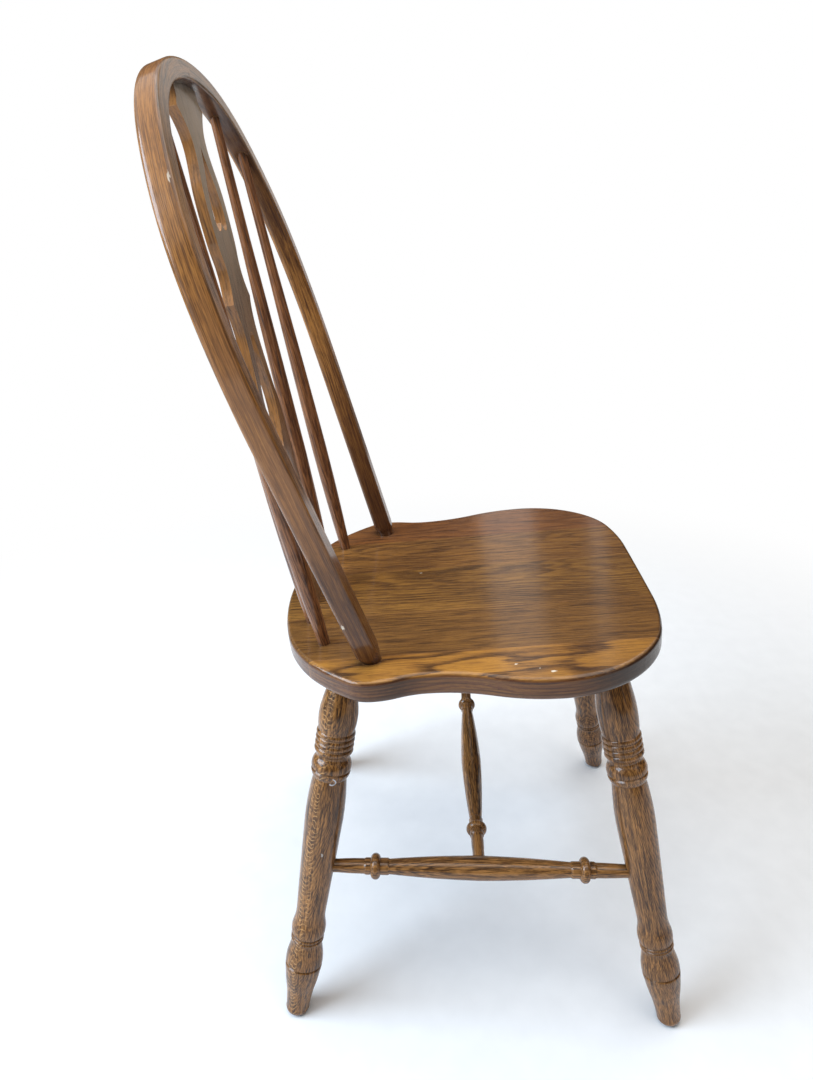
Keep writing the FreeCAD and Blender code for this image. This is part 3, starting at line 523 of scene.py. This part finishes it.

# %% [markdown]
# ## The turned legs
#
# A turned leg is the same board wood, cut round. Going round the leg, the ring number first follows
# the face and then dives into the depth, so nested arches stand on one side and fine straight lines
# on the other two. The stain is darker here, and the turned grooves are darkened more, by stain
# that gathers there and by painted shade.
#
# The near rear leg has two marks of its own: a hooked scratch below its bulb, which is part of a
# thin circle, and a small chip lower down.

# %% Arcs and scratches of the legs
LEGS = {
    # name: (foot, socket under the seat, direction that the flat sawn side faces, shift)
    "leg_front_right": ((-0.2130, -0.24294, 0.0), (-0.1245, -0.15383, 0.42815),
                        (-0.35, -1.0, 0.0), (3, 0, 0)),
    "leg_front_left": ((0.2130, -0.24294, 0.0), (0.1245, -0.15383, 0.42815),
                       (1.0, -0.2, 0.0), (0, 0, 700)),
    "leg_rear_right": ((-0.2054, 0.17616, 0.0), (-0.1300, 0.10916, 0.40745),
                       (-1.0, 0.62, 0.0), (0, 0, 1400)),
    "leg_rear_left": ((0.2054, 0.17616, 0.0), (0.1300, 0.10916, 0.40745),
                      (1.0, 0.3, 0.0), (0, 0, 2100)),
}
ARC_SPACING = 5.2                       # millimetres from one arch to the next
ARC_LINE = greys([(0.0, 0.0), (0.66, 0.0), (0.80, 1.0), (1.0, 0.0)])
HOOK_ACROSS, HOOK_ALONG, HOOK_RADIUS = -7.7, 304.2, 3.6
LEG_CHIP = (-8.2, 217.5, 3.2, 1.4)


def silver_arcs(bench, at, colour):
    """Light nested arches on the flat sawn side, where the lathe cut through the year rings."""
    across, depth, along = bench.split(at)
    arch = bench.times(across, across, 0.07)
    sway = bench.noise(at, (0.12, 0.12, 0.035), detail=3.0)
    level = bench.plus(bench.sum("SUBTRACT", along, arch), bench.times(sway, 7.0))
    line = bench.ramp(bench.sum("FRACT", bench.sum("DIVIDE", level, ARC_SPACING)), ARC_LINE)
    inside = bench.step(bench.sum("ABSOLUTE", across), 10.0, 3.0)
    outer = bench.step(depth, 4.0, 12.0)
    patch = bench.noise(at, (0.25, 0.25, 0.03), low=0.38, high=0.56)
    share = bench.times(bench.times(line, inside), bench.times(outer, patch), 0.95)
    return bench.blend(share, colour, stain(196, 148, 92))


def scratched(bench, at, colour):
    """The arches with the two marks of the near rear leg on top, read from its own side."""
    colour = silver_arcs(bench, at, colour)
    foot, socket = LEGS["leg_rear_right"][:2]
    spot = on_axis(foot, socket, (-1.0, 0.25, 0.0), (0, 0, 0))(bench)
    across, depth, along = bench.split(spot)
    x = bench.sum("SUBTRACT", across, HOOK_ACROSS)
    z = bench.times(bench.sum("SUBTRACT", along, HOOK_ALONG), 0.85)
    off_ring = bench.sum("SUBTRACT", bench.length(x, z), HOOK_RADIUS)
    line = bench.step(bench.sum("ABSOLUTE", off_ring), 0.75, 0.35)
    open_side = bench.step(bench.sum("SUBTRACT", x, bench.times(z, -0.5)), 1.6, 0.4)
    outside = bench.step(depth, 6.0, 9.0)
    hook = bench.times(line, open_side, outside, 0.85)
    colour = bench.blend(hook, colour, stain(206, 208, 214))
    return chipped(bench, spot, colour, [LEG_CHIP], tone=(178, 168, 160))


print("arches every", ARC_SPACING, "mm, hook", 2 * HOOK_RADIUS, "mm wide")

# %% Finish the legs
LEG_TONES = [(156, 108, 58), (100, 65, 35), (42, 28, 19), (22, 15, 11)]
LEG_WOOD = ((1.5, 0.15, 0.004, 2.6), 0.9, 0.6, 0.45)
LEG_FINISH = dict(pore=0.75, gloss=0.32, wear=0.4, corner_stain_and_shade=0.85, fleck=0.45,
                  worn_tone=(150, 108, 66))
for leg, (foot, socket, face, shift) in LEGS.items():
    marks = scratched if leg == "leg_rear_right" else silver_arcs
    dress(leg, oak(leg + "_oak", on_axis(foot, socket, face, shift), LEG_TONES, *LEG_WOOD,
                   extra=marks, **LEG_FINISH))
print("legs finished:", len(LEGS))

# %% [markdown]
# ## The stretchers
#
# The stretchers are slimmer turnings of the same wood, with long straight streaks. They run between
# the legs, so the directions of their grain come from where their ends meet the leg axes.

# %% Finish the stretchers
STRETCHER_UP = 0.1912   # metres up the axis of a leg
STRETCHER_TONES = [(160, 112, 62), (106, 71, 40), (50, 34, 22), (26, 18, 13)]
STRETCHER_WOOD = ((1.5, 0.03, 0.004, 1.6), 0.95, 0.5, 0.45)
STRETCHER_FINISH = dict(pore=0.75, gloss=0.32, wear=0.4, corner_stain_and_shade=0.85, fleck=0.4,
                        worn_tone=(132, 92, 56))


def up_leg(leg):
    foot, socket = (Vector(end) for end in LEGS[leg][:2])
    return foot + (socket - foot).normalized() * STRETCHER_UP


ends = {
    "stretcher_right": (up_leg("leg_rear_right"), up_leg("leg_front_right"), (-1, 0, 0.5)),
    "stretcher_left": (up_leg("leg_rear_left"), up_leg("leg_front_left"), (1, 0, 0.5)),
}
middles = [(rear + front) / 2 for rear, front, _ in ends.values()]
ends["stretcher_cross"] = (*middles, (0, -0.6, 1))
for number, (piece, (start, end, face)) in enumerate(ends.items()):
    dress(piece, oak(piece + "_oak", on_axis(start, end, face, (1, 0, 900 * number)),
                     STRETCHER_TONES, *STRETCHER_WOOD, **STRETCHER_FINISH))
print("stretchers finished:", len(ends))

# %% [markdown]
# ## The bent bow
#
# The bow is one strip of oak, steamed and bent, so its grain turns with it over the top. Straight
# directions would cut across the grain there. The material unrolls the bow instead: below the
# widest place the distance along the grain is the height, above it the distance is an arc round a
# centre, and the distance across is measured from the middle line of the strip.

# %% Directions that follow the bend
BOW_FOOT = (0.0, 0.06849, 0.43623)
BOW_UP = (0.0, 0.3040, 0.9527)
BOW_FRONT = (0.0, -0.9527, 0.3040)
WIDEST_HEIGHT = 325.0              # millimetres above the foot
WIDEST_HALF = 204.0                # from the middle to the strip's middle line there
CROWN_SQUEEZE = 0.954              # turns the slightly tall crown into a half circle
STRAIGHT_HEIGHT = 235.0            # the legs of the bow are straight up to here
STRAIGHT_HALF = (152.0, 196.0)     # middle line at the foot and at the end of the straight part
LAST_BULGE = 8.4                   # what the curve adds from there to the widest place


def round_bow(bench):
    """Coordinates that follow the bend: across the strip, into its face, along it."""
    side, depth, height = bench.split(along_piece(bench, BOW_FOOT, BOW_UP, BOW_FRONT))
    out = bench.sum("ABSOLUTE", side)
    over = bench.sum("MAXIMUM", bench.sum("SUBTRACT", height, WIDEST_HEIGHT), 0.0)
    over = bench.times(over, CROWN_SQUEEZE)
    narrow = bench.add("ShaderNodeMapRange")
    bench.feed(narrow.inputs["Value"], height)
    narrow.inputs["From Min"].default_value = 0.0
    narrow.inputs["From Max"].default_value = STRAIGHT_HEIGHT
    narrow.inputs["To Min"].default_value, narrow.inputs["To Max"].default_value = STRAIGHT_HALF
    left = bench.sum("DIVIDE", bench.sum("SUBTRACT", WIDEST_HEIGHT, height),
                     WIDEST_HEIGHT - STRAIGHT_HEIGHT, clamp=True)
    upper = bench.sum("SUBTRACT", 1.0, bench.times(left, left))
    middle_line = bench.plus(narrow.outputs[0], bench.times(upper, LAST_BULGE))
    across = bench.sum("SUBTRACT", bench.length(out, over), middle_line)
    above = bench.times(bench.sum("ARCTAN2", out, over), WIDEST_HALF)
    below = bench.sum("SUBTRACT", WIDEST_HEIGHT, bench.sum("MINIMUM", height, WIDEST_HEIGHT))
    signed = bench.times(bench.plus(above, below), bench.sum("SIGN", side))
    join = bench.add("ShaderNodeCombineXYZ")
    for socket, value in zip(join.inputs, (across, depth, signed)):
        bench.feed(socket, value)
    return join.outputs[0]


print("bow's grain is", round(2 * (WIDEST_HALF * math.pi / 2 + WIDEST_HEIGHT)), "mm long")

# %% [markdown]
# ## Tones of the bow
#
# The bow's tones change along it. Its feet are darker and redder than its crown, the inside of the
# bend is painted darker still, as shade, the outside is golden, and the middle of the outside is
# painted lighter, as painted light. The front of the crown is painted a pale olive, a painted
# reflection. Most of these are a soft step along the strip, times a step that finds the side of it.

# %% Finish the bow
BOW_TONES = [(172, 116, 58), (128, 83, 42), (68, 43, 26), (34, 22, 15)]
BOW_WOOD = ((1.5, 0.006, 0.020, 3.0), 1.0, 0.8, 0.38)
BOW_FINISH = dict(pore=0.7, gloss=0.33, wear=0.6, corner_stain_and_shade=0.7, worn_tone=(172, 124, 76),
                  round_edge=0.008)
BOW_CHIPS = [(-18.6, 590.0, 4.0, 2.2), (-3.0, 205.0, 5.0, 1.6)]


def bow_tones(bench, at, colour):
    """Feet, inside with painted shade, outside, middle with painted light, front with a painted
    reflection, and the two chips of the bow.
    """
    across, _, along = bench.split(at)
    run = bench.sum("ABSOLUTE", along)
    ahead = bench.turned_to(BOW_FRONT)
    side = bench.step(bench.sum("ABSOLUTE", ahead), 0.7, 0.3)
    inner = bench.times(side, bench.step(across, 0.0, -4.0))
    outer = bench.times(side, bench.step(across, 0.0, 4.0))
    feet = bench.step(run, 340.0, 620.0)
    crown = bench.step(run, 330.0, 110.0)
    middle = bench.times(bench.step(run, 230.0, 340.0), bench.step(run, 560.0, 440.0))
    front = bench.times(bench.step(ahead, 0.5, 0.9), crown)
    shade = bench.plus(bench.times(crown, 0.50), 0.28)
    for share, tone in (
        (bench.times(feet, 0.62), (74, 43, 28)),
        # Painted shade on the inside of the bend, strongest at the crown
        (bench.times(inner, shade), (66, 40, 28)),
        (bench.times(outer, crown, 0.45), (122, 78, 38)),
        # Painted light on the middle of the outside
        (bench.times(outer, middle, 0.32), (186, 132, 92)),
        # Painted reflection: a pale olive sheen on the front of the crown
        (bench.times(front, 0.36), (146, 130, 104)),
    ):
        colour = bench.blend(share, colour, stain(*tone))
    return chipped(bench, at, colour, BOW_CHIPS, first=1, tone=(206, 190, 170))


dress("bow", oak("bow_oak", round_bow, BOW_TONES, *BOW_WOOD, extra=bow_tones, **BOW_FINISH))
print("bow finished, chips:", len(BOW_CHIPS))

# %% [markdown]
# ## The spindles
#
# The spindles are thin turned rods, straight in the grain, that hands have rubbed. They come from
# one plank, so they share their tones, and a shift along the grain keeps them from being copies.

# %% Finish the spindles
SPINDLES = {
    # name: (foot, head)
    "spindle_outer_right": ((-0.115, 0.1301, 0.4314), (-0.1406, 0.232, 0.86)),
    "spindle_outer_left": ((0.115, 0.1301, 0.4314), (0.1406, 0.232, 0.86)),
    "spindle_inner_right": ((-0.068, 0.1488, 0.4299), (-0.0946, 0.245, 0.90)),
    "spindle_inner_left": ((0.068, 0.1488, 0.4299), (0.0946, 0.245, 0.90)),
}
SPINDLE_TONES = [(150, 98, 60), (108, 68, 43), (56, 36, 25), (30, 20, 15)]
SPINDLE_WOOD = ((1.4, 0.02, 0.006, 1.4), 0.8, 0.5, 0.4)
SPINDLE_FINISH = dict(pore=0.6, gloss=0.30, wear=0.35, corner_stain_and_shade=0.7)
for number, (piece, (foot, head)) in enumerate(SPINDLES.items()):
    dress(piece, oak(piece + "_oak", on_axis(foot, head, (-1, -0.4, 0), (0, 0, 600 * number)),
                     SPINDLE_TONES, *SPINDLE_WOOD, **SPINDLE_FINISH))
print("spindles finished:", len(SPINDLES))

# %% [markdown]
# ## The splat
#
# The splat is a flat board sawn and pierced to a pattern. Its faces took the stain evenly, and the
# front one is painted paler near the head, a painted reflection. The sawn edges cross the grain in
# places, took the stain unevenly and stayed more golden.

# %% Finish the splat
SPLAT_FOOT, SPLAT_HEAD = (0.0, 0.14715, 0.43004), (0.0, 0.23880, 0.93864)
SPLAT_FRONT = (0.0, -0.9843, 0.1773)
SPLAT_TONES = [(142, 102, 68), (110, 78, 54), (66, 46, 34), (36, 25, 18)]
SPLAT_WOOD = ((2.6, 0.030, 0.0050, 4.0), 0.55, 0.45, 0.45)
SPLAT_FINISH = dict(pore=0.45, gloss=0.30, wear=0.5, corner_stain_and_shade=0.6, worn_tone=(176, 122, 70))


def splat_tones(bench, at, colour):
    """The golden sawn edges, and a painted reflection that makes the front face paler towards the
    head.
    """
    ahead = bench.turned_to(SPLAT_FRONT)
    side = bench.step(bench.sum("ABSOLUTE", ahead), 0.75, 0.35)
    uneven = bench.noise(at, (0.05, 0.4, 0.05), detail=3.0, low=0.35, high=0.6)
    amount = bench.times(side, bench.plus(bench.times(uneven, 0.6), 0.05))
    colour = bench.blend(amount, colour, stain(172, 116, 60))
    # Painted reflection: the front face is painted paler towards the head
    head = bench.step(bench.split(at)[2], 250.0, 450.0)
    pale = bench.times(head, bench.step(ahead, 0.5, 0.9), 0.5)
    return bench.blend(pale, colour, stain(186, 166, 138))


dress("splat", oak("splat_oak", on_axis(SPLAT_FOOT, SPLAT_HEAD, (0, -1, 0), (8, 0, 0)),
                   SPLAT_TONES, *SPLAT_WOOD, extra=splat_tones, **SPLAT_FINISH))
print("splat finished")

# %% [markdown]
# ## Metal glides and the pin
#
# A dull steel glide is nailed under each foot, and one small steel pin holds the splat in the bow.
# Both are worn metal: a fine noise varies the roughness, and dirt darkens the colour in patches.

# %% Finish the metal
GLIDES = ("glide_front_right", "glide_front_left", "glide_rear_right", "glide_rear_left")
# Waves per metre, since small metal pieces read the shared coordinates as they are
METAL_PATCHES = (420.0, 420.0, 420.0)
METAL_SCRATCHES = (3000.0, 260.0, 260.0)
DIRTY_SHARE = 0.45


def worn_steel(name, tone, rough):
    bench = Bench(name)
    where = bench.add("ShaderNodeTexCoord").outputs["Object"]
    patches = bench.noise(where, METAL_PATCHES, detail=4.0)
    dirty = [DIRTY_SHARE * part for part in tone]
    colour = bench.ramp(patches, [(0.0, stain(*dirty)), (1.0, stain(*tone))])
    bench.feed(bench.shader.inputs["Base Color"], colour)
    bench.shader.inputs["Metallic"].default_value = 0.85
    bench.feed(bench.shader.inputs["Roughness"], bench.plus(bench.times(patches, 0.2), rough))
    bench.bump(bench.noise(where, METAL_SCRATCHES), 0.3, 0.0001)
    return bench.material


glide_steel = worn_steel("glide_steel", (120, 122, 128), 0.42)
for glide in GLIDES:
    dress(glide, glide_steel)
dress("splat_pin", worn_steel("pin_steel", (88, 80, 74), 0.45))
print("metal pieces finished:", len(GLIDES) + 1)

# %% [markdown]
# ## The floor
#
# The chair stands on a plain pale floor that takes its shadow. A card would end in a hard line at
# the horizon, so far from the chair the floor melts into the same white as the backdrop. A Light
# Path node shows that white only to the lens and in mirrored or clear surfaces, so it doesn't light
# the colour of the wood.

# %% Floor
FLOOR_HALF = 9.0


def sheet_of(name, centre, across, upward, material):
    """A flat card from its middle and its two half edges."""
    centre, across, upward = Vector(centre), Vector(across), Vector(upward)
    corners = [centre + a * across + b * upward for a, b in ((-1, -1), (1, -1), (1, 1), (-1, 1))]
    mesh = bpy.data.meshes.new(name)
    mesh.from_pydata(corners, [], [(0, 1, 2, 3)])
    card = bpy.data.objects.new(name, mesh)
    bpy.context.scene.collection.objects.link(card)
    mesh.materials.append(material)
    return card


def floor_paint():
    bench = Bench("pale_floor")
    where = bench.add("ShaderNodeTexCoord").outputs["Object"]
    grain = bench.noise(where, (30.0, 30.0, 30.0), detail=3.0)
    colour = bench.ramp(grain, [(0.0, stain(240, 240, 240)), (1.0, stain(244, 244, 244))])
    bench.feed(bench.shader.inputs["Base Color"], colour)
    bench.shader.inputs["Roughness"].default_value = 0.9
    bench.shader.inputs["Specular IOR Level"].default_value = 0.1
    reach = bench.add("ShaderNodeVectorMath", operation="LENGTH")
    bench.feed(reach.inputs[0], where)
    far = bench.step(reach.outputs["Value"], 0.55, 1.5)
    seen = bench.add("ShaderNodeLightPath").outputs
    direct = bench.sum("MAXIMUM", seen["Is Camera Ray"], seen["Is Glossy Ray"])
    direct = bench.sum("MAXIMUM", direct, seen["Is Transmission Ray"])
    white = bench.add("ShaderNodeEmission")
    white.inputs["Strength"].default_value = 1.0
    mixer = bench.add("ShaderNodeMixShader")
    for socket, value in zip(mixer.inputs, (
        bench.times(far, direct), bench.shader.outputs["BSDF"], white.outputs[0],
    )):
        bench.feed(socket, value)
    bench.feed(bench.output.inputs["Surface"], mixer.outputs[0])
    return bench.material


sheet_of("floor", (0, 0, 0), (FLOOR_HALF, 0, 0), (0, FLOOR_HALF, 0), floor_paint())
print("floor:", 2 * FLOOR_HALF, "m wide")

# %% [markdown]
# ## Dark cards
#
# Lacquer shows its surroundings, and needs something dark to look deep. Dark cards stand round the
# chair and are hidden from the lens. The three far ones leave two slits, through which the lacquer
# sees the white room.

# %% Cards round the chair
CARDS = {
    # name: (middle, half of its width, half of its height)
    "card_far_front": ((2.6, -1.62, 1.55), (0, 0.98, 0), (0, 0, 1.55)),
    "card_far_middle": ((2.6, -0.44, 1.55), (0, 0.13, 0), (0, 0, 1.55)),
    "card_far_rear": ((2.6, 1.14, 1.55), (0, 1.20, 0), (0, 0, 1.55)),
    "card_near": ((-2.6, -0.5, 1.6), (0, 2.1, 0), (0, 0, 1.6)),
    "card_front": ((0.0, -2.7, 1.2), (2.4, 0, 0), (0, 0, 1.2)),
    "card_rear": ((1.0, 2.7, 1.2), (1.5, 0, 0), (0, 0, 1.2)),
}
card_bench = Bench("dark_card")
card_bench.shader.inputs["Base Color"].default_value = (0.03, 0.028, 0.026, 1.0)
card_bench.shader.inputs["Roughness"].default_value = 0.9
card_bench.shader.inputs["Specular IOR Level"].default_value = 0.0
for name, (centre, across, upward) in CARDS.items():
    card = sheet_of(name, centre, across, upward, card_bench.material)
    card.visible_camera = False
print("dark cards:", len(CARDS))

# %% [markdown]
# ## The lamps
#
# Lamps are large and soft, as windows are. A wide cool window behind the chair's right side draws
# the long light along the rear edge of the bow and the spots on the beads of the legs. Its place
# was found by following a ray from the lens to the bow and off its edge. A broad light hangs above,
# and a faint warm one stands in front.

# %% Lights
LAMPS = {
    # name: (place, what it faces, width, height, brightness, colour)
    "window_rear_right": ((-0.60, 2.0, 1.75), (-0.20, 0.0, 0.60), 1.75, 1.45, 11.0,
                          (0.70, 0.84, 1.0)),
    "ceiling": ((0.0, -0.2, 2.7), (0.0, 0.0, 0.4), 2.8, 2.8, 2.0, (1.0, 0.975, 0.94)),
    "fill_front": ((-1.6, -2.3, 1.4), (0.0, 0.0, 0.45), 1.2, 1.2, 0.5, (1.0, 0.95, 0.88)),
}


def lamp(name, place, target, width, height, brightness, colour):
    """A soft area light whose surface has the given brightness, whatever its size."""
    data = bpy.data.lights.new(name, "AREA")
    data.shape = "RECTANGLE"
    data.size, data.size_y = width, height
    data.energy = brightness * math.pi * width * height
    data.color = colour
    light = bpy.data.objects.new(name, data)
    light.location = place
    light.rotation_euler = (Vector(target) - Vector(place)).to_track_quat("-Z", "Y").to_euler()
    light.visible_camera = False
    bpy.context.scene.collection.objects.link(light)


for name, settings in LAMPS.items():
    lamp(name, *settings)

# %% [markdown]
# ## The room
#
# The world is two things at once. To the lens, and in reflections, it is a plain white backdrop
# with a strength of 1. To the wood it is a weaker light from all round, which fills the shadows.

# %% World and view
world = bpy.data.worlds.new("white_room")
bpy.context.scene.world = world
world.use_nodes = True
tree = world.node_tree
tree.nodes.clear()


def background(colour, strength):
    node = tree.nodes.new("ShaderNodeBackground")
    node.inputs["Color"].default_value = (*colour, 1.0)
    node.inputs["Strength"].default_value = strength
    return node.outputs[0]


def larger(first, second):
    node = tree.nodes.new("ShaderNodeMath")
    node.operation = "MAXIMUM"
    tree.links.new(first, node.inputs[0])
    tree.links.new(second, node.inputs[1])
    return node.outputs[0]


path = tree.nodes.new("ShaderNodeLightPath").outputs
direct = larger(larger(path["Is Camera Ray"], path["Is Glossy Ray"]), path["Is Transmission Ray"])
chooser = tree.nodes.new("ShaderNodeMixShader")
ending = tree.nodes.new("ShaderNodeOutputWorld")
for source, socket in (
    (direct, chooser.inputs[0]),
    (background((0.98, 0.99, 1.0), 0.5), chooser.inputs[1]),
    (background((1.0, 1.0, 1.0), 1.0), chooser.inputs[2]),
    (chooser.outputs[0], ending.inputs["Surface"]),
):
    tree.links.new(source, socket)
bpy.context.scene.view_settings.view_transform = "Standard"
print("view transform:", bpy.context.scene.view_settings.view_transform)
